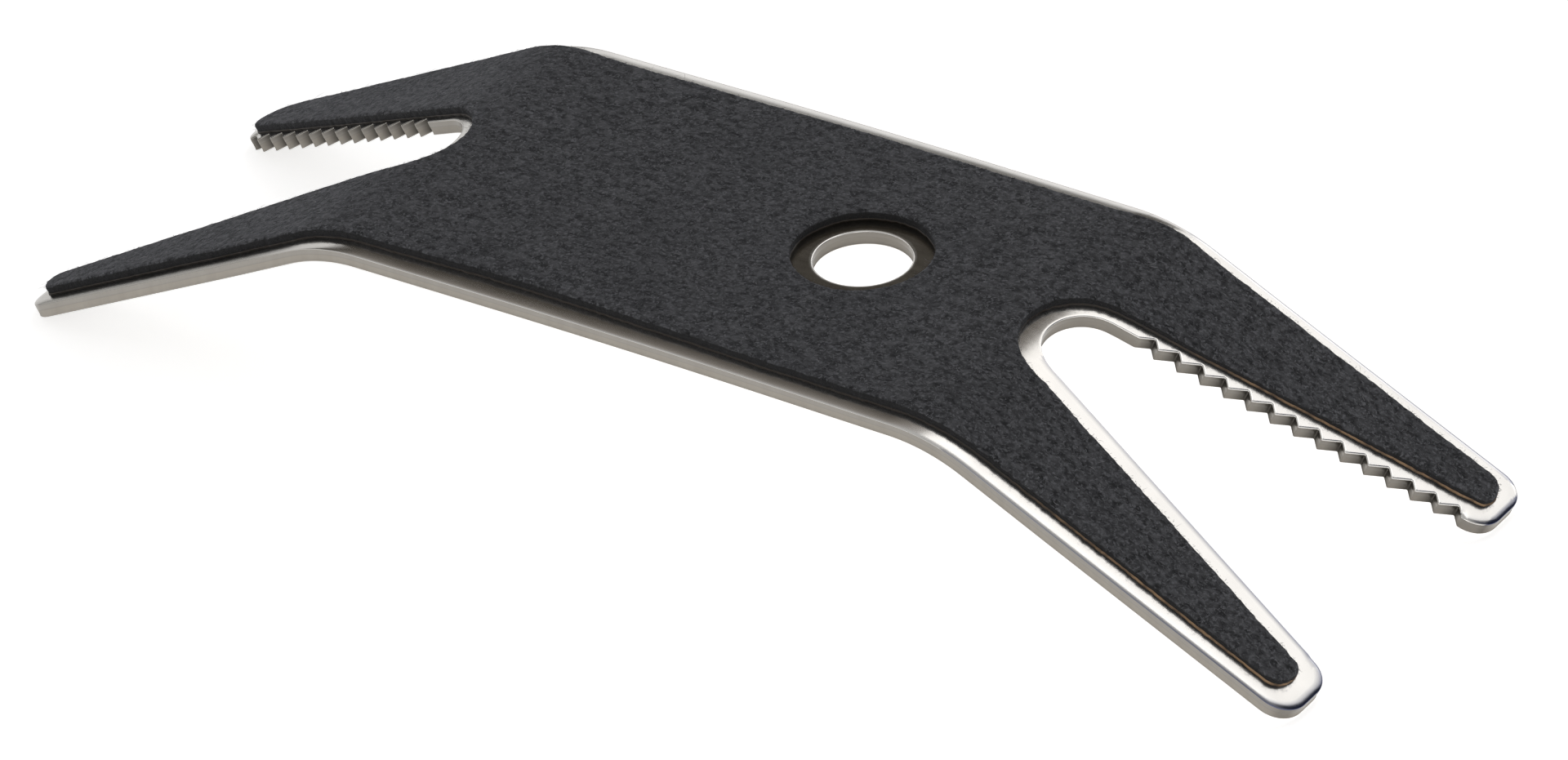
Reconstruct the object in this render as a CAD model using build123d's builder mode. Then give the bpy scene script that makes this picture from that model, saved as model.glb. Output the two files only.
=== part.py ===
from build123d import *
import math
import os

# A multi-size jaw spanner for instrument nuts: one blanked and cranked steel plate with a V jaw at
# each end, a hanging hole, and a soft suede sheet glued to its convex face so that it can lie on a
# finished surface without scratching it.
#
# Millimetres. The spanner stands on its four prong tips, convex face up. The origin is on that
# surface, under the middle of the plate. +X runs to the end nearer the hanging hole, +Y to the
# prongs with teeth, +Z up.
#
# Flat-pattern places on an end panel are given as (u, v): u outwards from the bend line along the
# convex face, and v across the plate, towards +Y.

# Plate
width = 44.5
thickness = 1.6
body_length = 73.0  # between the two bend lines
end_length = 44.3  # bend line to tips
bend_angle = 26.5
bend_radius = 20.0  # of the convex face
tip_radius = 3.0
rim_radius = 0.3  # tumbled rim of the convex face

# Hanging hole
hole_radius = 5.0
hole_x = 13.6
hole_y = 0.8

# Jaws. Each has a round root that bottoms out just behind the bend line, a smooth edge on the -Y
# prong and a toothed edge on the +Y prong. The tooth flanks stand at 45 degrees to X.
jaw_half_angle = 13.2
root_setback = 0.4
tooth_count = 14
tooth_step = 2.52  # along u
valley_depth = 0.92  # of a tooth valley behind the plain edge
right_jaw = {"side": 1, "root_radius": 5.2, "first_valley": 7.8}
left_jaw = {"side": -1, "root_radius": 5.8, "first_valley": 9.7}

# Backing: an adhesive film and a suede sheet with the same outline, inset from the plate's edges
film_thickness = 0.15
suede_thickness = 0.85
side_inset = 2.1
tip_inset = 2.0
root_inset = 2.1
hole_inset = 2.2
backing_shift = -0.5  # of both backing jaws, away from the teeth
backing_tip_radius = 1.6
right_backing_angle = 13.6  # half angles
left_backing_angle = 12.6

# Worked out from the above
bend = math.radians(bend_angle)
half_arc = bend_radius * bend / 2
flat_half = body_length / 2 - half_arc
straight_length = end_length - half_arc
arc_rise = bend_radius * (1 - math.cos(bend))
crown_height = arc_rise + straight_length * math.sin(bend) + thickness * math.cos(bend)
tip_x = flat_half + bend_radius * math.sin(bend) + straight_length * math.cos(bend)
cut_reach = 12.0  # half the depth of the jaw cuts, well past both faces
overrun = 3.0  # of the cuts past the tips


def half_surface(height, inset):
    """Half of the surface that lies height above the convex face, from the middle to a tip."""
    level = crown_height + height
    crown = Line((0, level), (flat_half, level))
    turn = JernArc(crown @ 1, (1, 0), bend_radius + height, -bend_angle)
    slope = PolarLine(turn @ 1, straight_length - inset, -bend_angle)
    return slope @ 1


def sheet_profile(bottom, top, inset):
    """Side view of a bent sheet between two heights above the convex face."""
    with BuildSketch(Plane.XZ) as profile:
        with BuildLine():
            upper_tip = half_surface(top, inset)
            lower_tip = half_surface(bottom, inset)
            Line(upper_tip, lower_tip)
            Line((0, crown_height + bottom), (0, crown_height + top))
        make_face()
        mirror(about=Plane.YZ)
    return profile.sketch


def jaw_plane(side):
    """The convex face of an end panel, with its origin on the bend line."""
    outwards = Vector(side * math.cos(bend), 0, -math.sin(bend))
    upwards = Vector(side * math.sin(bend), 0, math.cos(bend))
    bend_end = Vector(side * (flat_half + bend_radius * math.sin(bend)), 0, crown_height - arc_rise)
    return Plane(origin=bend_end - outwards * half_arc, x_dir=outwards, z_dir=upwards)


def tangent_point(root_u, root_radius, angle, across):
    """Where a jaw edge that opens at an angle leaves the round root, on the +v or -v side."""
    lean = math.radians(angle)
    return (root_u - root_radius * math.sin(lean), across * root_radius * math.cos(lean))


def toothed_edge(jaw, start):
    """The +v edge of a jaw, from the root to the last tooth's valley."""
    lean = math.tan(math.radians(jaw_half_angle))
    behind = valley_depth * math.hypot(1, lean)
    first_u = jaw["first_valley"]
    first_v = start[1] + (first_u - start[0]) * lean + behind
    lead = behind / (1 - lean)
    fall = tooth_step * (1 - lean) / 2
    points = [start, (first_u - lead, first_v - lead)]
    for index in range(tooth_count):
        valley_u = first_u + index * tooth_step
        valley_v = first_v + index * tooth_step * lean
        points.append((valley_u, valley_v))
        points.append((valley_u + fall, valley_v - fall))
    return points[:-1], fall


def tip_arc_start(last_valley, arc_centre):
    """Where the flank beyond the last valley, which falls at 45 degrees, meets the tip's arc."""
    du = last_valley[0] - arc_centre[0]
    dv = last_valley[1] - arc_centre[1]
    half_b = (du - dv) / 2
    run = -half_b + math.sqrt(half_b**2 - (du**2 + dv**2 - tip_radius**2) / 2)
    return (last_valley[0] + run, last_valley[1] - run)


def jaw_opening(jaw):
    """Outline of a jaw opening in (u, v), with its mouth drawn past the tips."""
    side = jaw["side"]
    radius = jaw["root_radius"]
    root_u = radius - root_setback
    smooth = tangent_point(root_u, radius, jaw_half_angle, -1)
    plain = tangent_point(root_u, radius, jaw_half_angle, 1)
    teeth, fall = toothed_edge(jaw, plain)
    valley = teeth[-1]
    arc_centre = (end_length - tip_radius, valley[1] - fall + tip_radius)
    arc_start = tip_arc_start(valley, arc_centre)
    arc_turn = math.atan2(arc_start[1] - arc_centre[1], arc_start[0] - arc_centre[0])
    arc_middle = (
        arc_centre[0] + tip_radius * math.cos(arc_turn / 2),
        arc_centre[1] + tip_radius * math.sin(arc_turn / 2),
    )
    mouth_u = end_length + overrun
    smooth_v = smooth[1] - (mouth_u - smooth[0]) * math.tan(math.radians(jaw_half_angle))
    flip = [(u, side * v) for u, v in teeth + [arc_start]]
    arc_points = [flip[-1], (arc_middle[0], side * arc_middle[1]), (end_length, side * arc_centre[1])]
    with BuildSketch(jaw_plane(side)) as opening:
        with BuildLine():
            ThreePointArc((smooth[0], side * smooth[1]), (-root_setback, 0), flip[0])
            Polyline(*flip)
            ThreePointArc(*arc_points)
            Polyline(
                arc_points[-1],
                (mouth_u, side * arc_centre[1]),
                (mouth_u, side * smooth_v),
                (smooth[0], side * smooth[1]),
            )
        make_face()
    return opening.sketch


def backing_opening(jaw, half_angle):
    """Outline of the plain V opening in the backing, in (u, v)."""
    side = jaw["side"]
    radius = jaw["root_radius"] + root_inset
    root_u = jaw["root_radius"] - root_setback
    start_u, start_v = tangent_point(root_u, radius, half_angle, 1)
    mouth_u = end_length + overrun
    mouth_v = start_v + (mouth_u - start_u) * math.tan(math.radians(half_angle))
    shift = side * backing_shift
    with BuildSketch(jaw_plane(side)) as opening:
        with BuildLine():
            ThreePointArc(
                (start_u, shift - start_v), (root_u - radius, shift), (start_u, shift + start_v)
            )
            Polyline(
                (start_u, shift + start_v),
                (mouth_u, shift + mouth_v),
                (mouth_u, shift - mouth_v),
                (start_u, shift - start_v),
            )
        make_face()
    return opening.sketch


def on_tip(edge, sheet_thickness, inset):
    """True for a short edge that crosses the sheet's thickness at the end of a prong."""
    crosses = abs(edge.length - sheet_thickness) < 0.01
    return crosses and abs(edge.center().X) > tip_x - inset - sheet_thickness


def on_toothed_corner(edge):
    """True for an edge on the +Y prong that isn't at the plate's outer side."""
    return 0 < edge.center().Y < width / 2 - 1


def on_convex_face(face):
    """True for a face whose middle looks out of the convex side."""
    return face.normal_at().Z > 0.5


def on_rim(edge):
    """True for an edge of the convex face that isn't the line where a bend starts or ends."""
    across = edge.geom_type == GeomType.LINE and abs(edge.tangent_at(0.5).Y) > 0.999
    return not across or abs(edge.center().X) > tip_x - tip_radius


# Steel plate
with BuildPart() as steel_plate:
    extrude(sheet_profile(-thickness, 0, 0), amount=width / 2, both=True)
    with BuildSketch(Plane.XY.offset(crown_height)):
        with Locations((hole_x, hole_y)):
            Circle(hole_radius)
    extrude(amount=-2 * thickness, mode=Mode.SUBTRACT)
    for jaw in (right_jaw, left_jaw):
        extrude(jaw_opening(jaw), amount=cut_reach, both=True, mode=Mode.SUBTRACT)
    tips = steel_plate.edges().filter_by(lambda edge: on_tip(edge, thickness, 0))
    fillet(tips.filter_by(on_toothed_corner, reverse=True), tip_radius)
    convex = steel_plate.faces().filter_by(on_convex_face)
    rim = convex.edges().filter_by(on_rim)
    fillet(rim, rim_radius)
steel_plate.part.label = "steel_plate"


def make_backing(bottom, top):
    """A bonded layer on the convex face, between two heights above it."""
    layer = top - bottom
    with BuildPart() as backing:
        extrude(sheet_profile(bottom, top, tip_inset), amount=width / 2 - side_inset, both=True)
        with BuildSketch(Plane.XY.offset(crown_height)):
            with Locations((hole_x, hole_y)):
                Circle(hole_radius + hole_inset)
        extrude(amount=2 * top, mode=Mode.SUBTRACT)
        jaw_angles = ((right_jaw, right_backing_angle), (left_jaw, left_backing_angle))
        for jaw, half_angle in jaw_angles:
            extrude(backing_opening(jaw, half_angle), amount=cut_reach, both=True, mode=Mode.SUBTRACT)
        tips = backing.edges().filter_by(lambda edge: on_tip(edge, layer, tip_inset))
        fillet(tips, backing_tip_radius)
    return backing.part


# Adhesive film
adhesive_film = make_backing(0, film_thickness)
adhesive_film.label = "adhesive_film"

# Suede backing
suede_backing = make_backing(film_thickness, film_thickness + suede_thickness)
suede_backing.label = "suede_backing"

os.makedirs("parts", exist_ok=True)
export_step(steel_plate.part, "parts/steel_plate.step")
export_step(adhesive_film, "parts/adhesive_film.step")
export_step(suede_backing, "parts/suede_backing.step")
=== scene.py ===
import math

import bpy
import numpy as np
from mathutils import Matrix, Vector, noise
from mathutils.geometry import delaunay_2d_cdt
from mathutils.kdtree import KDTree


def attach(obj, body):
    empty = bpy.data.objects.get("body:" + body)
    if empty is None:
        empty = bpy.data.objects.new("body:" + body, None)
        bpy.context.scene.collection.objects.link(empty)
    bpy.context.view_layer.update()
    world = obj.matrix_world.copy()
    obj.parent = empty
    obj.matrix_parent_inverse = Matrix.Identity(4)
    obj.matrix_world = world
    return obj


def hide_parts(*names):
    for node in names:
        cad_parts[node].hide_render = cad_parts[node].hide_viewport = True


# The visual model of a suede-backed jaw spanner. Every layer is drawn as a flat pattern in
# millimetres, (s, v): s along the convex face from the middle of the plate, v across it, towards the
# toothed prongs. place() then bends the pattern to shape and turns it into metres.

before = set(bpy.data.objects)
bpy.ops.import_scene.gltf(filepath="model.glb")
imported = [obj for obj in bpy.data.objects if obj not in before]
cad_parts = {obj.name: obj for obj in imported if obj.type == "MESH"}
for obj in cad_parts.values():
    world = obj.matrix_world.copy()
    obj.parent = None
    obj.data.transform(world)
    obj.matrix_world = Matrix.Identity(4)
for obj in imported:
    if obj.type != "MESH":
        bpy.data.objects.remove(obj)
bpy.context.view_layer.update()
rng = np.random.default_rng(7)

MM = 0.001

# ---------------------------------------------------------------- sizes, in millimetres

WIDTH = 44.5
THICKNESS = 1.6
BODY_LENGTH = 73.0
END_LENGTH = 44.3
BEND = math.radians(26.5)
BEND_RADIUS = 20.0
TIP_RADIUS = 3.0

HOLE = (13.6, 0.8)
HOLE_RADIUS = 5.0

JAW_ANGLE = math.radians(13.2)
ROOT_SETBACK = 0.4
TOOTH_COUNT = 14
TOOTH_STEP = 2.52
VALLEY_DEPTH = 0.92
TOOTH_ROUND = 0.13
RIGHT_JAW = {"root": 5.2, "first_valley": 7.8, "root_inset": 2.1}
LEFT_JAW = {"root": 5.8, "first_valley": 9.7, "root_inset": 1.6}

# The suede's prongs, toothed side first: angle of the inner edge in degrees, set-back from the steel's
# tip, and length of the rounded outer corner.
RIGHT_BACKING = ((14.4, 1.7, 1.8), (13.1, 2.5, 1.8))
LEFT_BACKING = ((13.5, 1.2, 5.0), (13.0, 1.0, 1.8))
BACKING_TIP = 1.4  # radius of their other corner, beside the jaw

FILM = 0.15
SUEDE = 0.85
SIDE_INSET = 2.1
HOLE_INSET = 2.2
BACKING_SHIFT = -0.5

ARCH = 0.35  # rise of the body's middle above a flat body
CROWN = 0.18  # fall of the plate's long edges below its middle
CROWN_FADE = 30.0  # length over which that fall dies out before the tips
OUTER_BAND = 0.6  # points nearer than this to the blank's outline are on its outer edge

HALF_ARC = BEND_RADIUS * BEND / 2
FLAT_HALF = BODY_LENGTH / 2 - HALF_ARC
STRAIGHT = END_LENGTH - HALF_ARC
HALF_LENGTH = BODY_LENGTH / 2 + END_LENGTH
CROWN_Z = (
    BEND_RADIUS * (1 - math.cos(BEND)) + STRAIGHT * math.sin(BEND) + THICKNESS * math.cos(BEND)
)


# ---------------------------------------------------------------- flat pattern to bent shape


def place(s, v, height):
    """Bends flat-pattern points, height millimetres above the convex face, and gives metres."""
    side = np.where(s < 0, -1.0, 1.0)
    reach = np.abs(s)
    turn = np.clip((reach - FLAT_HALF) / BEND_RADIUS, 0, BEND)
    beyond = np.maximum(reach - FLAT_HALF - 2 * HALF_ARC, 0)
    flat = np.minimum(reach, FLAT_HALF)
    x = flat + (BEND_RADIUS + height) * np.sin(turn) + beyond * np.cos(turn)
    z = CROWN_Z - BEND_RADIUS + (BEND_RADIUS + height) * np.cos(turn) - beyond * np.sin(turn)
    z += ARCH * np.maximum(1 - (s / (FLAT_HALF + 2 * HALF_ARC)) ** 2, 0) ** 2
    z -= CROWN * (v / (WIDTH / 2)) ** 2 * np.clip((HALF_LENGTH - reach) / CROWN_FADE, 0, 1)
    return np.stack([side * x, v + 0 * x, z], -1) * MM


def arc(centre, radius, start, end, step=0.35):
    """Points along an arc, angles in radians."""
    count = max(int(abs(end - start) * radius / step), 4) + 1
    angles = np.linspace(start, end, count)
    return [(centre[0] + radius * math.cos(a), centre[1] + radius * math.sin(a)) for a in angles]


def rounded(points, radius):
    """The polyline with each inner corner replaced by a small curve."""
    out = [points[0]]
    for before, corner, after in zip(points, points[1:], points[2:]):
        corner = np.array(corner)
        towards = [np.array(p) - corner for p in (before, after)]
        a, b = (corner + t / np.linalg.norm(t) * radius for t in towards)
        for t in (0.0, 0.33, 0.67, 1.0):
            out.append(tuple((1 - t) ** 2 * a + 2 * t * (1 - t) * corner + t * t * b))
    out.append(points[-1])
    return out


def divided(points, step):
    """The closed loop with its long stretches cut into pieces no longer than step."""
    out = []
    for start, end in zip(points, points[1:] + points[:1]):
        start, end = np.array(start), np.array(end)
        length = np.linalg.norm(end - start)
        if length < 1e-4:
            continue
        count = max(int(math.ceil(length / step)), 1)
        out += [start + (end - start) * k / count for k in range(count)]
    return np.array(out)


def steel_end(jaw):
    """One end of the plate in (u, v), from its +v side round both prongs to its -v side."""
    tan, sin, cos = math.tan(JAW_ANGLE), math.sin(JAW_ANGLE), math.cos(JAW_ANGLE)
    radius = jaw["root"]
    root_u = radius - ROOT_SETBACK
    corner_u = END_LENGTH - TIP_RADIUS
    plain = (root_u - radius * sin, radius * cos)
    behind = VALLEY_DEPTH / cos
    fall = TOOTH_STEP * (1 - tan) / 2
    first_u = jaw["first_valley"]
    first_v = plain[1] + (first_u - plain[0]) * tan + behind
    lead = behind / (1 - tan)
    teeth = [plain, (first_u - lead, first_v - lead)]
    for index in range(TOOTH_COUNT):
        valley = (first_u + index * TOOTH_STEP, first_v + index * TOOTH_STEP * tan)
        teeth.append(valley)
        teeth.append((valley[0] + fall, valley[1] - fall))
    last_valley, last_peak = teeth[-2:]
    # The last tooth has no peak: its flank runs on to the arc of the prong's inner corner.
    inner_v = last_peak[1] + TIP_RADIUS
    du, dv = last_valley[0] - corner_u, last_valley[1] - inner_v
    half_b = (du - dv) / 2
    run = -half_b + math.sqrt(half_b**2 - (du**2 + dv**2 - TIP_RADIUS**2) / 2)
    teeth[-1] = (last_valley[0] + run, last_valley[1] - run)
    start = math.atan2(teeth[-1][1] - inner_v, teeth[-1][0] - corner_u)
    smooth_v = -(radius + (corner_u - root_u) * sin + TIP_RADIUS) / cos
    outer_v = WIDTH / 2 - TIP_RADIUS
    return (
        arc((corner_u, outer_v), TIP_RADIUS, math.pi / 2, 0)
        + arc((corner_u, inner_v), TIP_RADIUS, 0, start)
        + rounded(teeth[::-1], TOOTH_ROUND)
        + arc((root_u, 0), radius, math.pi / 2 + JAW_ANGLE, 1.5 * math.pi - JAW_ANGLE)
        + arc((corner_u, smooth_v), TIP_RADIUS, math.pi / 2 - JAW_ANGLE, 0)
        + arc((corner_u, -outer_v), TIP_RADIUS, 0, -math.pi / 2)
    )


def backing_prong(jaw, cut, outer_v):
    """Half of one end of the suede in (u, v), v from the jaw's middle outwards: from the outer edge
    round the prong's end to the back of the root."""
    angle, inset, corner = cut
    angle = math.radians(angle)
    radius = jaw["root"] + jaw["root_inset"]
    root_u = jaw["root"] - ROOT_SETBACK
    end_u = END_LENGTH - inset
    straight = (end_u - BACKING_TIP - root_u) * math.sin(angle)
    tip_v = (radius + straight + BACKING_TIP) / math.cos(angle)
    turn = np.linspace(math.pi / 2, 0, 12)
    bend_u = end_u - corner + corner * np.cos(turn)
    bend_v = tip_v + (outer_v - tip_v) * np.sin(turn)
    return (
        list(zip(bend_u, bend_v))
        + arc((end_u - BACKING_TIP, tip_v), BACKING_TIP, 0, angle - math.pi / 2)
        + arc((root_u, 0), radius, math.pi / 2 + angle, math.pi)
    )


def backing_end(jaw, cuts):
    """One end of the suede in (u, v), in the same order as steel_end."""
    toothed, smooth = cuts
    outer = WIDTH / 2 - SIDE_INSET
    upper = backing_prong(jaw, toothed, outer - BACKING_SHIFT)
    lower = backing_prong(jaw, smooth, outer + BACKING_SHIFT)
    upper = [(u, BACKING_SHIFT + v) for u, v in upper]
    return upper + [(u, BACKING_SHIFT - v) for u, v in lower[::-1]]


def pattern(right, left, step):
    """Both ends joined into one closed loop in (s, v), clockwise."""
    right = [(BODY_LENGTH / 2 + u, v) for u, v in right]
    left = [(-BODY_LENGTH / 2 - u, v) for u, v in left]
    return divided(right + left[::-1], step)


def ring(radius, step):
    """The hanging hole's loop, anticlockwise."""
    return np.array(arc(HOLE, radius, 0, 2 * math.pi, step)[:-1])


# ---------------------------------------------------------------- meshing a flat pattern


def inwards(loop):
    """Unit normals of a loop, pointing into the material."""
    tangent = np.roll(loop, -1, axis=0) - np.roll(loop, 1, axis=0)
    tangent /= np.linalg.norm(tangent, axis=1)[:, None]
    return np.stack([tangent[:, 1], -tangent[:, 0]], -1)


def neighbours(loops):
    """The numbers of each two neighbouring points, round one loop after another."""
    pairs = []
    first = 0
    for loop in loops:
        pairs += [(first + k, first + (k + 1) % len(loop)) for k in range(len(loop))]
        first += len(loop)
    return pairs


def edge_distance(points, loops):
    """Distance from each point to the nearest edge, and whether the point is inside."""
    border = np.concatenate(loops)
    tree = KDTree(len(border))
    for index, (s, v) in enumerate(border):
        tree.insert((s, v, 0), index)
    tree.balance()
    nearest = np.array([tree.find((s, v, 0))[1] for s, v in points])
    start = border[nearest]
    distance = np.full(len(points), np.inf)
    for shift in (1, -1):
        along = np.concatenate([np.roll(loop, shift, axis=0) for loop in loops])[nearest] - start
        share = ((points - start) * along).sum(1) / (along**2).sum(1)
        foot = start + along * np.clip(share, 0, 1)[:, None]
        distance = np.minimum(distance, np.linalg.norm(points - foot, axis=1))
    normals = np.concatenate([inwards(loop) for loop in loops])[nearest]
    return distance, ((points - start) * normals).sum(1) > 0


def within(points, loops):
    """Whether each point is inside the loops: a line to its right crosses them an odd number of
    times."""
    starts = np.concatenate(loops)
    ends = np.concatenate([np.roll(loop, -1, axis=0) for loop in loops])
    s, v = points[:, :1], points[:, 1:]
    rise = ends[:, 1] - starts[:, 1]
    spans = (starts[:, 1] > v) != (ends[:, 1] > v)
    crossing = starts[:, 0] + (v - starts[:, 1]) * (ends[:, 0] - starts[:, 0]) / np.where(
        rise == 0, 1, rise
    )
    return (spans & (s < crossing)).sum(1) % 2 == 1


def fill(loops, rings, grid):
    """Triangulates a pattern with extra points on rings near its edge and on a grid inside it.
    Gives the points, their distance to the edge, and the triangles. The loops' points come first."""
    border = np.concatenate(loops)
    extra = []
    for distance in rings:
        band = np.concatenate([loop + inwards(loop) * distance for loop in loops])
        near, inside = edge_distance(band, loops)
        band = band[inside & (near > 0.9 * distance)]
        extra.append(band)
    low, high = border.min(0), border.max(0)
    columns = np.arange(low[0], high[0], grid)
    rows = np.arange(low[1], high[1], grid)
    lattice = np.array([(s + grid / 2 * (k % 2), v) for s in columns for k, v in enumerate(rows)])
    lattice += rng.uniform(-0.2, 0.2, lattice.shape) * grid
    near, inside = edge_distance(lattice, loops)
    extra.append(lattice[inside & (near > rings[-1] + 0.4 * grid)])
    points = np.concatenate([border] + extra)
    found, _, faces, origin, _, _ = delaunay_2d_cdt(
        [Vector(p) for p in points], neighbours(loops), [], 0, 1e-6, True
    )
    found = np.array([tuple(p) for p in found])
    back = {source[0]: k for k, source in enumerate(origin) if source}
    order = [back[k] for k in range(len(border))]
    rest = sorted(set(range(len(found))) - set(order))
    rank = np.empty(len(found), int)
    rank[order + rest] = np.arange(len(found))
    points = found[order + rest]
    triangles = rank[np.array([tuple(f) for f in faces])]
    # A triangle between edge points alone may lie outside, across a gap between teeth or a jaw.
    across = (triangles < len(border)).all(1)
    kept = ~across
    kept[across] = within(points[triangles[across]].mean(1), loops)
    near, _ = edge_distance(points, loops)
    near[: len(border)] = 0
    return points, near, triangles[kept]


def oriented(points, triangles, sign):
    """The triangles, wound to face up for sign 1 and down for -1."""
    a, b, c = (points[triangles[:, k]] for k in range(3))
    cross = (b - a)[:, 0] * (c - a)[:, 1] - (b - a)[:, 1] * (c - a)[:, 0]
    out = triangles.copy()
    wrong = cross * sign < 0
    out[wrong] = out[wrong][:, ::-1]
    return out


def smooth_piece(name, vertices, faces, attributes):
    """A smooth mesh object. attributes has a list of numbers, one per vertex, under each name."""
    mesh = bpy.data.meshes.new(name)
    mesh.from_pydata(vertices.tolist(), [], faces)
    for key, values in attributes.items():
        stored = mesh.attributes.new(key, "FLOAT", "POINT")
        stored.data.foreach_set("value", values.astype(np.float32))
    mesh.polygons.foreach_set("use_smooth", [True] * len(mesh.polygons))
    piece = bpy.data.objects.new(name, mesh)
    bpy.context.scene.collection.objects.link(piece)
    return piece


def groove(points):
    """How deep edge points lie between the teeth: 0 up to the mirror image of the jaw's plain edge,
    1 in the valleys."""
    u = np.abs(points[:, 0]) - BODY_LENGTH / 2
    depth = np.zeros(len(points))
    for jaw, side in ((RIGHT_JAW, 1), (LEFT_JAW, -1)):
        edge = jaw["root"] / math.cos(JAW_ANGLE)
        edge = edge + (u - jaw["root"] + ROOT_SETBACK) * math.tan(JAW_ANGLE)
        toothed = (points[:, 0] * side > 0) & (u > jaw["first_valley"] - 1) & (points[:, 1] > 0)
        depth = np.where(toothed, (points[:, 1] - edge) * math.cos(JAW_ANGLE), depth)
    return np.clip(depth / VALLEY_DEPTH, 0, 1)


def outline_gap(points):
    """Distance from points to the box round the flat blank."""
    return np.minimum(WIDTH / 2 - np.abs(points[:, 1]), HALF_LENGTH - np.abs(points[:, 0]))


def shut_in(outline):
    """How much light an edge loses to the wall opposite: 0 on the outer edge, 0.55 on a plain edge in
    a jaw or the hole, 1 in the valleys between teeth."""
    return np.clip(outline_gap(outline) / OUTER_BAND, 0, 1) * (0.55 + 0.45 * groove(outline))


def rim_shade(points, near):
    """How strongly the right end's plain rims are painted with a blue-dark reflection: 0 on the face,
    1 at the edge. The band is wider on the +v prong and in the jaw, and widest at the tips."""
    start, run, tip_run = 38.0, 38.0, 4.0
    s, v = points[:, 0], points[:, 1]
    gap = outline_gap(points)
    plain_edge = (v < 0) | (gap < OUTER_BAND)
    in_jaw = gap > 2
    wide = (v > 0) | in_jaw
    tip = np.clip((s - HALF_LENGTH + tip_run) / tip_run, 0, 1)
    along = np.clip((s - start) / run, 0, 1)
    width = 0.34 + 0.3 * wide + 0.8 * tip
    return np.clip(1 - near / width, 0, 1) * (0.6 + 0.4 * along) * (s > start) * plain_edge


def slab(name, loops, upper, lower, walls):
    """A closed bent sheet. upper and lower are (rings, grid, height function of points and
    distance); walls lists the wall's levels between them as (share of the way down, recess).
    Its attributes are wall (1 on the edge walls, 0.5 where a face meets them), depth (share of the
    way down), inner (see shut_in) and rim (see rim_shade)."""
    top, top_near, top_faces = fill(loops, upper[0], upper[1])
    bottom, bottom_near, bottom_faces = fill(loops, lower[0], lower[1])
    top_height = upper[2](top, top_near)
    bottom_height = lower[2](bottom, bottom_near)
    outline = np.concatenate(loops)
    normals = np.concatenate([inwards(loop) for loop in loops])
    border = len(outline)
    inner = shut_in(outline)
    layers = [
        (
            place(top[:, 0], top[:, 1], top_height),
            np.where(top_near < 1e-6, 0.5, 0.0),
            np.zeros(len(top)),
            np.pad(inner, (0, len(top) - border)),
            rim_shade(top, top_near),
        )
    ]
    for share, recess in walls:
        moved = top[:border] + normals * recess
        height = top_height[:border] * (1 - share) + bottom_height[:border] * share
        bent = place(moved[:, 0], moved[:, 1], height)
        layers.append((bent, np.ones(border), np.full(border, share), inner, np.zeros(border)))
    layers.append(
        (
            place(bottom[:, 0], bottom[:, 1], bottom_height),
            np.where(bottom_near < 1e-6, 0.5, 0.0),
            np.ones(len(bottom)),
            np.pad(inner, (0, len(bottom) - border)),
            np.zeros(len(bottom)),
        )
    )
    vertices, *values = (np.concatenate(column) for column in zip(*layers))
    last = len(top) + len(walls) * border
    levels = [0] + [len(top) + k * border for k in range(len(walls))] + [last]
    faces = [tuple(int(k) for k in f) for f in oriented(top, top_faces, 1)]
    faces += [tuple(int(k) + last for k in f) for f in oriented(bottom, bottom_faces, -1)]
    for above, below in zip(levels, levels[1:]):
        faces += [(above + a, above + b, below + b, below + a) for a, b in neighbours(loops)]
    attributes = dict(zip(("wall", "depth", "inner", "rim"), values))
    piece = smooth_piece(name, vertices, faces, attributes)
    piece.data.validate()
    return piece


def ripple(points, scale, seed):
    """Smooth noise between -1 and 1 at flat-pattern points; scale is the feature size in mm."""
    return np.array([noise.noise(Vector((p[0] / scale, p[1] / scale, seed))) for p in points])


# ---------------------------------------------------------------- steel plate

OUTER_ROLL = (1.2, 0.2)  # width and drop of the plate's outer rim on its convex side
BODY_ROLL = 0.8  # how much wider that rim is along the body's -v side
INNER_ROLL = (0.22, 0.1)  # the same around the hole and inside the jaws
BURR_ROLL = (0.16, 0.12)  # the same on the underside, tumbled only


def rolled(near, width, drop):
    """Elliptic fall of a surface towards its edge: 0 further in than width, drop at the edge."""
    share = np.clip(1 - near / width, 0, 1)
    return drop * (1 - np.sqrt(np.maximum(1 - share**2, 0)))


def convex_height(points, near):
    """The steel's convex face. The wide roll follows the blank's outline and goes all the way round
    the prongs' tips; the narrow one is on every edge."""
    body_end, body_fade, tip_fade = 42.0, 6.0, 1.5
    beyond_s = np.abs(points[:, 0]) - (HALF_LENGTH - TIP_RADIUS)
    beyond_v = np.abs(points[:, 1]) - (WIDTH / 2 - TIP_RADIUS)
    corner = np.hypot(np.maximum(beyond_s, 0), np.maximum(beyond_v, 0))
    blank = TIP_RADIUS - corner - np.minimum(np.maximum(beyond_s, beyond_v), 0)
    before_tip = np.clip(-beyond_s / tip_fade, 0, 1)
    outer = near + (np.maximum(blank, near) - near) * before_tip
    body = (points[:, 1] < 0) * np.clip((body_end - np.abs(points[:, 0])) / body_fade, 0, 1)
    width, drop = OUTER_ROLL
    wide = rolled(outer, width + BODY_ROLL * body, drop)
    return -np.maximum(wide, rolled(near, *INNER_ROLL))


def concave_height(points, near):
    """The steel's underside."""
    return -THICKNESS + rolled(near, *BURR_ROLL)


EDGE_STEP = 0.5  # longest step between points along the steel's edge
FINE_STEP = 0.3  # the same along the hole's and the suede's edges

# Rings of points, as distances from the edge, that the rolls of the convex face need.
CONVEX_RINGS = [0.01, 0.03, 0.06, 0.11, 0.17, 0.24, 0.36, 0.52, 0.72, 0.95, 1.2, 1.5, 2.0]

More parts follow.
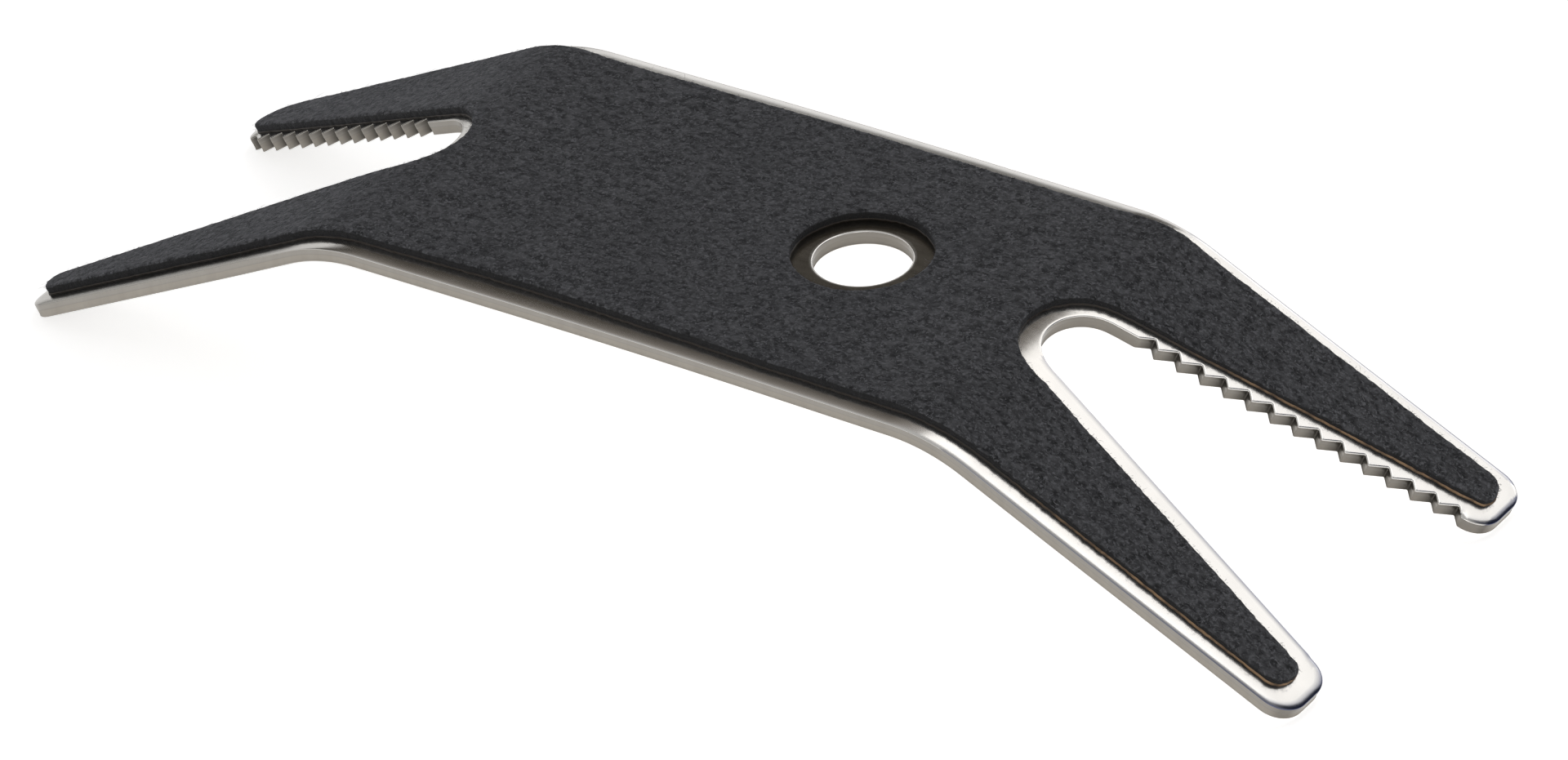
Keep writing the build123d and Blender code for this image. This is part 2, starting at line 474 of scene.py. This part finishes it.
steel_loops = [
    pattern(steel_end(RIGHT_JAW), steel_end(LEFT_JAW), EDGE_STEP),
    ring(HOLE_RADIUS, FINE_STEP),
]
steel = slab(
    "steel_blade",
    steel_loops,
    (CONVEX_RINGS, 1.4, convex_height),
    ([0.05, 0.11, 0.18, 0.5], 1.2, concave_height),
    [(0.02, 0.0), (0.2, -0.004), (0.38, 0.0), (0.44, 0.022), (0.7, 0.03), (0.97, 0.035)],
)

# ---------------------------------------------------------------- adhesive film and suede


def cut_edge(loop, seed):
    """A hand-cut edge: the loop wanders a little in and out, slowly and with small nicks."""
    wander = 0.12 * ripple(loop, 6.0, seed) + 0.09 * ripple(loop, 0.5, seed + 9)
    return loop + inwards(loop) * wander[:, None]


def bowed(loop):
    """The cut wanders off its line: in a little along both sides of the body, and out to a corner
    on the +v side at each bend."""
    out = loop.copy()
    s, v = loop[:, 0], loop[:, 1]
    near_hollow = 0.45 * np.exp(-(((s + 12.0) / 16.0) ** 2))
    far_hollow = 0.6 * np.exp(-((s / 38.0) ** 8))
    corner = 0.5 * np.maximum(1 - np.abs(np.abs(s) - 37.0) / 6.0, 0)
    out[:, 1] += np.where(v < -WIDTH / 4, near_hollow, 0)
    out[:, 1] += np.where(v > WIDTH / 4 + 8, corner - far_hollow, 0)
    return out


suede_outline = pattern(
    backing_end(RIGHT_JAW, RIGHT_BACKING), backing_end(LEFT_JAW, LEFT_BACKING), FINE_STEP
)
suede_loops = [
    cut_edge(bowed(suede_outline), 3.0),
    cut_edge(ring(HOLE_RADIUS + HOLE_INSET, FINE_STEP), 5.0),
]


def pressed(points):
    """How hard the sheet was pressed on: 0 on the body, rising to 1 on the right end."""
    rise_start, rise_length = 34.0, 12.0
    return np.clip((points[:, 0] - rise_start) / rise_length, 0, 1)


def squeezed_out(loop):
    """How far the film stands out past the suede."""
    return 0.02 + 0.05 * pressed(loop) + 0.09 * ripple(loop, 2.5, 21.0)


film_loops = [loop - inwards(loop) * squeezed_out(loop)[:, None] for loop in suede_loops]


def nap_height(points, near):
    """The suede's top: rolled down to its cut edge, and uneven with clumps and pits of the nap."""
    press = pressed(points)
    roll = rolled(near, 0.35 + 0.15 * press, 0.2 + 0.25 * press)
    level = FILM + SUEDE - roll * (1 + 0.5 * ripple(points, 0.6, 4.0))
    clumps, pits = ripple(points, 1.6, 1.0), ripple(points, 0.5, 2.0)
    return level + 0.03 * clumps + 0.035 * pits


film = slab(
    "adhesive_layer",
    film_loops,
    ([0.5], 1.6, lambda points, near: FILM - rolled(near, 0.1, 0.05)),
    ([0.5], 1.6, lambda points, near: 0 * near),
    [(0.5, -0.02)],
)
suede = slab(
    "suede_sheet",
    suede_loops,
    ([0.06, 0.16, 0.3, 0.5], 0.42, nap_height),
    ([0.5], 1.6, lambda points, near: 0 * near + FILM),
    [(0.25, -0.03), (0.6, 0.0), (0.9, 0.02)],
)

# ---------------------------------------------------------------- loose fibres

FIBRE_TAPER = (0.7, 1.0, 1.0, 0.8, 0.25)  # a fibre's thickness from its root to its end
FIBRE_CURL = 1.1  # how much a fibre typically turns along its length, in radians
FIBRE_SIDES = 3
NAP_FIBRES = 7400
FUZZ_FIBRES = 5200


def fibres(name, roots, angles, lengths, base, lift, thickness):
    """Loose fibres as thin three-sided tubes lying on the nap. base is the height of their roots and
    lift how far their middles rise above it."""
    steps = np.linspace(0, 1, len(FIBRE_TAPER))
    curl = rng.normal(0, FIBRE_CURL, len(roots))
    heading = angles[:, None] + curl[:, None] * (steps - 0.5)
    stride = lengths[:, None] / (len(steps) - 1)
    s = roots[:, 0][:, None] + np.cumsum(np.cos(heading) * stride, 1)
    v = roots[:, 1][:, None] + np.cumsum(np.sin(heading) * stride, 1)
    h = base[:, None] + lift[:, None] * np.sin(steps * math.pi * 0.8 + 0.2)
    taper = np.array(FIBRE_TAPER) * thickness / 2
    points = []
    for k in range(FIBRE_SIDES):
        turn = 2 * math.pi * k / FIBRE_SIDES
        across = np.cos(turn) * taper
        side_s, side_v = s - np.sin(heading) * across, v + np.cos(heading) * across
        points.append(place(side_s, side_v, h + np.sin(turn) * taper))
    vertices = np.stack(points, 2).reshape(-1, 3)
    faces = []
    for index in range(len(roots)):
        first = index * len(steps) * FIBRE_SIDES
        end = first + (len(steps) - 1) * FIBRE_SIDES
        for a in range(first, end, FIBRE_SIDES):
            for k in range(FIBRE_SIDES):
                n = (k + 1) % FIBRE_SIDES
                faces.append((a + k, a + n, a + FIBRE_SIDES + n, a + FIBRE_SIDES + k))
        faces.append((first + 2, first + 1, first))
        faces.append((end, end + 1, end + 2))
    shade = np.repeat(rng.uniform(0, 1, len(roots)), len(steps) * FIBRE_SIDES)
    return smooth_piece(name, vertices, faces, {"shade": shade})


def scattered(count, margin):
    """Random points on the suede, at least margin from its edge. More are drawn than asked for, as
    some fall off the sheet."""
    spare = 1.75
    low, high = suede_loops[0].min(0), suede_loops[0].max(0)
    points = rng.uniform(low, high, (int(count * spare), 2))
    near, inside = edge_distance(points, suede_loops)
    return points[inside & (near > margin)][:count]


nap_roots = scattered(NAP_FIBRES, margin=0.2)
nap = fibres(
    "suede_fibres",
    nap_roots,
    angles=rng.normal(0.2, 0.9, len(nap_roots)) + math.pi * rng.integers(0, 2, len(nap_roots)),
    lengths=np.clip(rng.lognormal(-0.75, 0.5, len(nap_roots)), 0.2, 2.4),
    base=FILM + SUEDE + 0.012 + 0 * nap_roots[:, 0],
    lift=rng.uniform(0.01, 0.06, len(nap_roots)),
    thickness=0.024,
)

# Short fuzz stands out of the cut edges.
rim = np.concatenate(suede_loops)
outwards = -np.concatenate([inwards(loop) for loop in suede_loops])
picked = rng.integers(0, len(rim), FUZZ_FIBRES)
fuzz = fibres(
    "edge_fuzz",
    rim[picked] - outwards[picked] * 0.06 + rng.uniform(-0.15, 0.15, (len(picked), 2)),
    angles=np.arctan2(outwards[picked, 1], outwards[picked, 0]) + rng.normal(0, 0.9, len(picked)),
    lengths=np.clip(rng.lognormal(-1.8, 0.4, len(picked)), 0.08, 0.4),
    base=FILM + SUEDE * rng.uniform(0.1, 0.95, len(picked)),
    lift=rng.uniform(0.0, 0.12, len(picked)),
    thickness=0.03,
)

# ---------------------------------------------------------------- materials


def material(name):
    """An empty node material with its principled shader."""
    made = bpy.data.materials.new(name)
    made.use_nodes = True
    shader = made.node_tree.nodes["Principled BSDF"]
    return made, made.node_tree, shader


def feed(tree, socket, value):
    """Links a node's input to another node's output, or sets it to a value."""
    if isinstance(value, bpy.types.NodeSocket):
        tree.links.new(value, socket)
    else:
        socket.default_value = value


def node(tree, kind, **inputs):
    """A new node; inputs are given by socket name."""
    made = tree.nodes.new(kind)
    for key, value in inputs.items():
        feed(tree, made.inputs[key], value)
    return made


def ramp(tree, factor, stops):
    """A colour ramp with (position, grey or colour) stops."""
    made = node(tree, "ShaderNodeValToRGB", Fac=factor)
    elements = made.color_ramp.elements
    while len(elements) < len(stops):
        elements.new(0.5)
    for element, (position, colour) in zip(elements, stops):
        element.position = position
        if not isinstance(colour, tuple):
            colour = (colour, colour, colour)
        element.color = (*colour, 1)
    return made.outputs["Color"]


def mix(tree, factor, a, b):
    """A colour mix of two sockets or colours: a for factor 0, b for 1."""
    made = tree.nodes.new("ShaderNodeMix")
    made.data_type = "RGBA"
    # Inputs 6 and 7 are the node's two colours, and output 2 is its colour result.
    for index, value in ((0, factor), (6, a), (7, b)):
        feed(tree, made.inputs[index], (*value, 1) if isinstance(value, tuple) else value)
    return made.outputs[2]


def maths(tree, operation, a, b):
    """The result of an operation on two numbers."""
    made = tree.nodes.new("ShaderNodeMath")
    made.operation = operation
    feed(tree, made.inputs[0], a)
    feed(tree, made.inputs[1], b)
    return made.outputs[0]


def vector_maths(tree, operation, a, b=(0, 0, 0)):
    """The outputs, Vector and Value, of an operation on two vectors."""
    made = tree.nodes.new("ShaderNodeVectorMath")
    made.operation = operation
    feed(tree, made.inputs[0], a)
    feed(tree, made.inputs[1], b)
    return made.outputs


def attribute(tree, name):
    """A point attribute of the mesh, as a number."""
    made = tree.nodes.new("ShaderNodeAttribute")
    made.attribute_name = name
    return made.outputs["Fac"]


def object_place(tree):
    """The shaded point in the object's own coordinates, in metres."""
    return tree.nodes.new("ShaderNodeTexCoord").outputs["Object"]


def along_length(tree, direction):
    """Decimetres from the middle of the plate, towards +X for direction 1 and -X for -1. A ramp's
    positions only run from 0 to 1, so metres would leave most of it unused."""
    x = node(tree, "ShaderNodeSeparateXYZ", Vector=object_place(tree)).outputs["X"]
    return maths(tree, "MULTIPLY", x, direction * 10.0)


def object_noise(tree, scale, stretch=(1, 1, 1), detail=3.0, distortion=0.0):
    """Noise in object space; scale is in features per metre."""
    mapping = node(tree, "ShaderNodeMapping", Vector=object_place(tree), Scale=stretch)
    texture = node(
        tree,
        "ShaderNodeTexNoise",
        Vector=mapping.outputs["Vector"],
        Scale=scale,
        Detail=detail,
        Distortion=distortion,
    )
    return texture.outputs["Fac"]


def steel_face(tree, left):
    """The colour of the plate's faces: slightly cloudy, with a painted grey reflection at the left
    end, a brownish ring round the hanging hole that is partly residue and partly painted dark
    reflection, and a blue-dark band of painted reflection on the rims of the right end."""
    cloud = ramp(tree, object_noise(tree, 180), [(0.3, 0.0), (0.7, 1.0)])
    colour = mix(tree, cloud, (0.80, 0.78, 0.75), (0.74, 0.72, 0.69))
    # Painted reflection: the faces at the left end are greyed, as if they mirrored a grey surround.
    colour = mix(tree, maths(tree, "MULTIPLY", left, 0.95), colour, (0.29, 0.275, 0.25))
    # A brownish ring round the hole, partly adhesive residue and partly painted dark reflection.
    centre = (HOLE[0] * MM, HOLE[1] * MM, CROWN_Z * MM)
    metres = vector_maths(tree, "DISTANCE", object_place(tree), centre)["Value"]
    centimetres = maths(tree, "MULTIPLY", metres, 100.0)
    residue_and_dark_reflection = ramp(tree, centimetres, [(0.515, 0.0), (0.54, 1.0), (0.78, 1.0), (0.82, 0.0)])
    colour = mix(tree, residue_and_dark_reflection, colour, (0.30, 0.275, 0.235))
    # Painted reflection: a blue-dark band along the right end's rims.
    rim_reflection = ramp(tree, attribute(tree, "rim"), [(0.0, 0.0), (0.5, 0.4), (1.0, 0.95)])
    return mix(tree, rim_reflection, colour, (0.07, 0.085, 0.16))


def steel_side(tree, left, streak, fracture, seam):
    """The colour of the plate's edge walls: a burnished half and a torn half with a dark seam between
    them, with painted shade inside the jaws and round the hole where walls face each other, and most
    of all between the teeth."""
    burnished = mix(tree, streak, (0.335, 0.316, 0.288), (0.275, 0.258, 0.234))
    torn = mix(tree, streak, (0.385, 0.357, 0.315), (0.308, 0.284, 0.25))
    colour = mix(tree, fracture, burnished, torn)
    colour = mix(tree, maths(tree, "MULTIPLY", seam, 0.45), colour, (0.22, 0.21, 0.2))
    # Painted shade where a wall faces another, inside the jaws and the hole, weaker at the left end.
    inner = attribute(tree, "inner")
    lighter_left = ramp(tree, left, [(0.0, 1.0), (1.0, 0.45)])
    jaw = maths(tree, "MULTIPLY", ramp(tree, inner, [(0.0, 0.0), (0.5, 0.6)]), lighter_left)
    colour = mix(tree, jaw, colour, (0.17, 0.157, 0.137))
    # Painted shade, darkest in the valleys between the teeth.
    valley = ramp(tree, inner, [(0.56, 0.0), (1.0, 0.85)])
    return mix(tree, valley, colour, (0.03, 0.027, 0.023))


def steel_material():
    """Tumbled stainless steel: faces with a fine grain along the plate, and coarser edge walls."""
    made, tree, shader = material("tumbled_stainless")
    wall = ramp(tree, attribute(tree, "wall"), [(0.5, 0.0), (0.62, 1.0)])
    face = maths(tree, "SUBTRACT", 1.0, wall)
    depth = attribute(tree, "depth")
    fracture = ramp(tree, depth, [(0.36, 0.0), (0.44, 1.0)])
    seam = ramp(tree, depth, [(0.34, 0.0), (0.41, 1.0), (0.48, 0.0)])
    grain = object_noise(tree, 1400, (0.25, 1, 1))
    streak = object_noise(tree, 900, (1, 1, 0.08))
    # left marks the left end, whose faces get a painted grey reflection and whose walls get less
    # painted shade.
    left = ramp(tree, along_length(tree, -1), [(0.30, 0.0), (0.46, 1.0)])
    face_colour = steel_face(tree, left)
    side_colour = steel_side(tree, left, streak, fracture, seam)
    tree.links.new(mix(tree, wall, face_colour, side_colour), shader.inputs["Base Color"])
    shader.inputs["Metallic"].default_value = 1.0
    face_rough = maths(tree, "ADD", maths(tree, "MULTIPLY", grain, 0.10), 0.14)
    side_rough = maths(tree, "ADD", maths(tree, "MULTIPLY", fracture, 0.2), 0.3)
    face_rough = maths(tree, "MULTIPLY", face_rough, face)
    side_rough = maths(tree, "MULTIPLY", side_rough, wall)
    rough = maths(tree, "ADD", face_rough, side_rough)
    tree.links.new(rough, shader.inputs["Roughness"])
    face_bump = maths(tree, "MULTIPLY", maths(tree, "MULTIPLY", grain, 0.4), face)
    side_bump = maths(tree, "MULTIPLY", maths(tree, "MULTIPLY", streak, 2.5), wall)
    height = maths(tree, "ADD", face_bump, side_bump)
    bump = node(tree, "ShaderNodeBump", Height=height, Strength=0.12, Distance=0.00004)
    tree.links.new(bump.outputs["Normal"], shader.inputs["Normal"])
    return made


def suede_material():
    """Charcoal microfibre suede: lighter clumps and specks of nap in a dark ground, and a darker
    cut edge."""
    made, tree, shader = material("charcoal_microsuede")
    wall = attribute(tree, "wall")
    clump = object_noise(tree, 1500, (0.7, 1, 1), detail=3.0, distortion=0.5)
    speck = object_noise(tree, 3200, detail=3.0, distortion=0.8)
    patch = object_noise(tree, 90, detail=2.0)
    clumps = ramp(tree, clump, [(0.35, 0.0), (0.68, 1.0)])
    specks = ramp(tree, speck, [(0.5, 0.0), (0.7, 1.0)])
    patches = ramp(tree, patch, [(0.4, 0.0), (0.75, 0.2)])
    base = mix(tree, clumps, (0.0145, 0.0148, 0.0158), (0.081, 0.0818, 0.088))
    base = mix(tree, specks, base, (0.133, 0.135, 0.146))
    base = mix(tree, patches, base, (0.02, 0.021, 0.024))
    side = mix(tree, speck, (0.007, 0.007, 0.0073), (0.03, 0.03, 0.031))
    edge = ramp(tree, wall, [(0.25, 0.0), (0.6, 1.0)])
    tree.links.new(mix(tree, edge, base, side), shader.inputs["Base Color"])
    shader.inputs["Roughness"].default_value = 0.95
    shader.inputs["Specular IOR Level"].default_value = 0.25
    shader.inputs["Sheen Weight"].default_value = 0.12
    shader.inputs["Sheen Roughness"].default_value = 0.45
    shader.inputs["Sheen Tint"].default_value = (0.55, 0.57, 0.65, 1)
    height = maths(tree, "ADD", speck, maths(tree, "MULTIPLY", clump, 1.5))
    bump = node(tree, "ShaderNodeBump", Height=height, Strength=0.8, Distance=0.0001)
    tree.links.new(bump.outputs["Normal"], shader.inputs["Normal"])
    return made


def fibre_material(name, light):
    """Fibres from nearly black to, for a few of them, pale grey; light multiplies their colours."""
    made, tree, shader = material(name)
    stops = (
        (0.0, (0.02, 0.021, 0.024)),
        (0.6, (0.07, 0.072, 0.08)),
        (0.95, (0.15, 0.15, 0.165)),
        (1.0, (0.4, 0.4, 0.42)),
    )
    dimmed = [(at, tuple(part * light for part in colour)) for at, colour in stops]
    colour = ramp(tree, attribute(tree, "shade"), dimmed)
    tree.links.new(colour, shader.inputs["Base Color"])
    shader.inputs["Roughness"].default_value = 0.7
    return made


def film_material():
    """Brown adhesive: almost black along the body, orange where it is squeezed out at the right
    end."""
    made, tree, shader = material("brown_adhesive")
    smear = ramp(tree, object_noise(tree, 700), [(0.35, 0.0), (0.6, 1.0)])
    orange = mix(tree, smear, (0.10, 0.058, 0.028), (0.36, 0.225, 0.12))
    right = ramp(tree, along_length(tree, 1), [(0.44, 0.0), (0.56, 1.0)])
    colour = mix(tree, right, (0.022, 0.015, 0.01), orange)
    tree.links.new(colour, shader.inputs["Base Color"])
    shader.inputs["Roughness"].default_value = 0.45
    return made


for piece, made, cad_node, slot in (
    (steel, steel_material(), "steel_plate", "steel"),
    (film, film_material(), "adhesive_film", "adhesive"),
    (suede, suede_material(), "suede_backing", "suede"),
    (nap, fibre_material("loose_fibres", 1.0), None, "suede"),
    (fuzz, fibre_material("cut_fuzz", 0.35), None, "suede"),
):
    piece.data.materials.append(made)
    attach(piece, "root")
    if cad_node:
        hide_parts(cad_node)


# ---------------------------------------------------------------- stage, light and camera


def world_light():
    """A studio: a white sweep low down, a dark room above it and grey overhead, with a dark flag
    high on the +X, +Y side. In reflections the room is dark only on the side opposite the camera,
    and is lit on the others."""
    world = bpy.data.worlds.new("studio")
    bpy.context.scene.world = world
    world.use_nodes = True
    tree = world.node_tree
    direction = tree.nodes.new("ShaderNodeTexCoord").outputs["Generated"]
    height = node(tree, "ShaderNodeSeparateXYZ", Vector=direction).outputs["Z"]
    dark, dusk, overhead = (0.045, 0.039, 0.031), (0.24, 0.22, 0.2), 0.52
    low = [(0.0, 0.3), (0.17, 0.95), (0.43, 1.0)]
    dark_high = [(0.485, dark), (0.60, dark), (0.74, dusk), (0.9, overhead)]
    lit_high = [(0.62, 0.75), (0.78, 0.45), (0.9, overhead)]
    dark_room = ramp(tree, height, low + dark_high)
    lit_room = ramp(tree, height, low + lit_high)
    behind = vector_maths(tree, "DOT_PRODUCT", direction, (-0.40, 0.917, 0.0))["Value"]
    elsewhere = ramp(tree, behind, [(0.36, 1.0), (0.5, 0.0)])
    mirrored = tree.nodes.new("ShaderNodeLightPath").outputs["Is Glossy Ray"]
    room = mix(tree, maths(tree, "MULTIPLY", elsewhere, mirrored), dark_room, lit_room)
    flag = vector_maths(tree, "DOT_PRODUCT", direction, (0.60, 0.62, 0.50))["Value"]
    flag_shade = ramp(tree, flag, [(0.84, 1.0), (0.92, (0.05, 0.06, 0.10))])
    lit = vector_maths(tree, "MULTIPLY", room, flag_shade)["Vector"]
    background = tree.nodes["Background"]
    tree.links.new(lit, background.inputs["Color"])
    background.inputs["Strength"].default_value = 1.0


def softbox(name, direction, distance, size, power):
    """An area light in a direction from the object, facing it."""
    light = bpy.data.lights.new(name, "AREA")
    light.shape = "RECTANGLE"
    light.size, light.size_y = size
    light.energy = power
    lamp = bpy.data.objects.new(name, light)
    bpy.context.scene.collection.objects.link(lamp)
    away = Vector(direction).normalized()
    lamp.location = away * distance
    lamp.rotation_euler = away.to_track_quat("Z", "Y").to_euler()


def pale_floor():
    """A plain pale plane. It glows near the object, so that it is white there."""
    bpy.ops.mesh.primitive_plane_add(size=12)
    floor = bpy.context.object
    floor.name = "floor"
    made, tree, shader = material("pale_floor")
    paper = mix(tree, object_noise(tree, 40), (0.9, 0.9, 0.9), (0.92, 0.92, 0.92))
    tree.links.new(paper, shader.inputs["Base Color"])
    shader.inputs["Roughness"].default_value = 0.9
    shader.inputs["Emission Color"].default_value = (1, 1, 1, 1)
    metres = vector_maths(tree, "LENGTH", object_place(tree))["Value"]
    glow = ramp(tree, metres, [(0.15, 1.0), (0.5, 0.0)])
    tree.links.new(maths(tree, "MULTIPLY", glow, 0.6), shader.inputs["Emission Strength"])
    floor.data.materials.append(made)
    return floor


world_light()
softbox("back_softbox", (0.138, 0.73, 0.669), distance=1.6, size=(0.98, 1.42), power=5.0)
softbox("front_fill", (0.8, -1.0, 0.9), distance=2.4, size=(1.2, 1.2), power=5.0)
floor = pale_floor()

# The camera looks at a point near the middle of the plate from its +X, -Y side.
CAMERA_AZIMUTH = math.radians(36.706)
CAMERA_ELEVATION = math.radians(32.631)
CAMERA_DISTANCE = 0.96737
CAMERA_ROLL = math.radians(-4.458)
CAMERA_TARGET = Vector((0.00849, -0.00683, 0.010))
lens = bpy.data.cameras.new("camera")
lens.sensor_width = 36
lens.lens = 225
lens.clip_start = 0.01
camera = bpy.data.objects.new("camera", lens)
bpy.context.scene.collection.objects.link(camera)
towards_camera = Vector(
    (
        math.sin(CAMERA_AZIMUTH) * math.cos(CAMERA_ELEVATION),
        -math.cos(CAMERA_AZIMUTH) * math.cos(CAMERA_ELEVATION),
        math.sin(CAMERA_ELEVATION),
    )
)
turned = towards_camera.to_track_quat("Z", "Y").to_matrix() @ Matrix.Rotation(CAMERA_ROLL, 3, "Z")
camera.matrix_world = Matrix.LocRotScale(
    CAMERA_TARGET + towards_camera * CAMERA_DISTANCE, turned.to_quaternion(), None
)
bpy.context.scene.camera = camera
bpy.context.scene.view_settings.view_transform = "Standard"


def plain(bounds):
    """Bounds as lists that json can write."""
    return [[float(number) for number in corner] for corner in bounds]
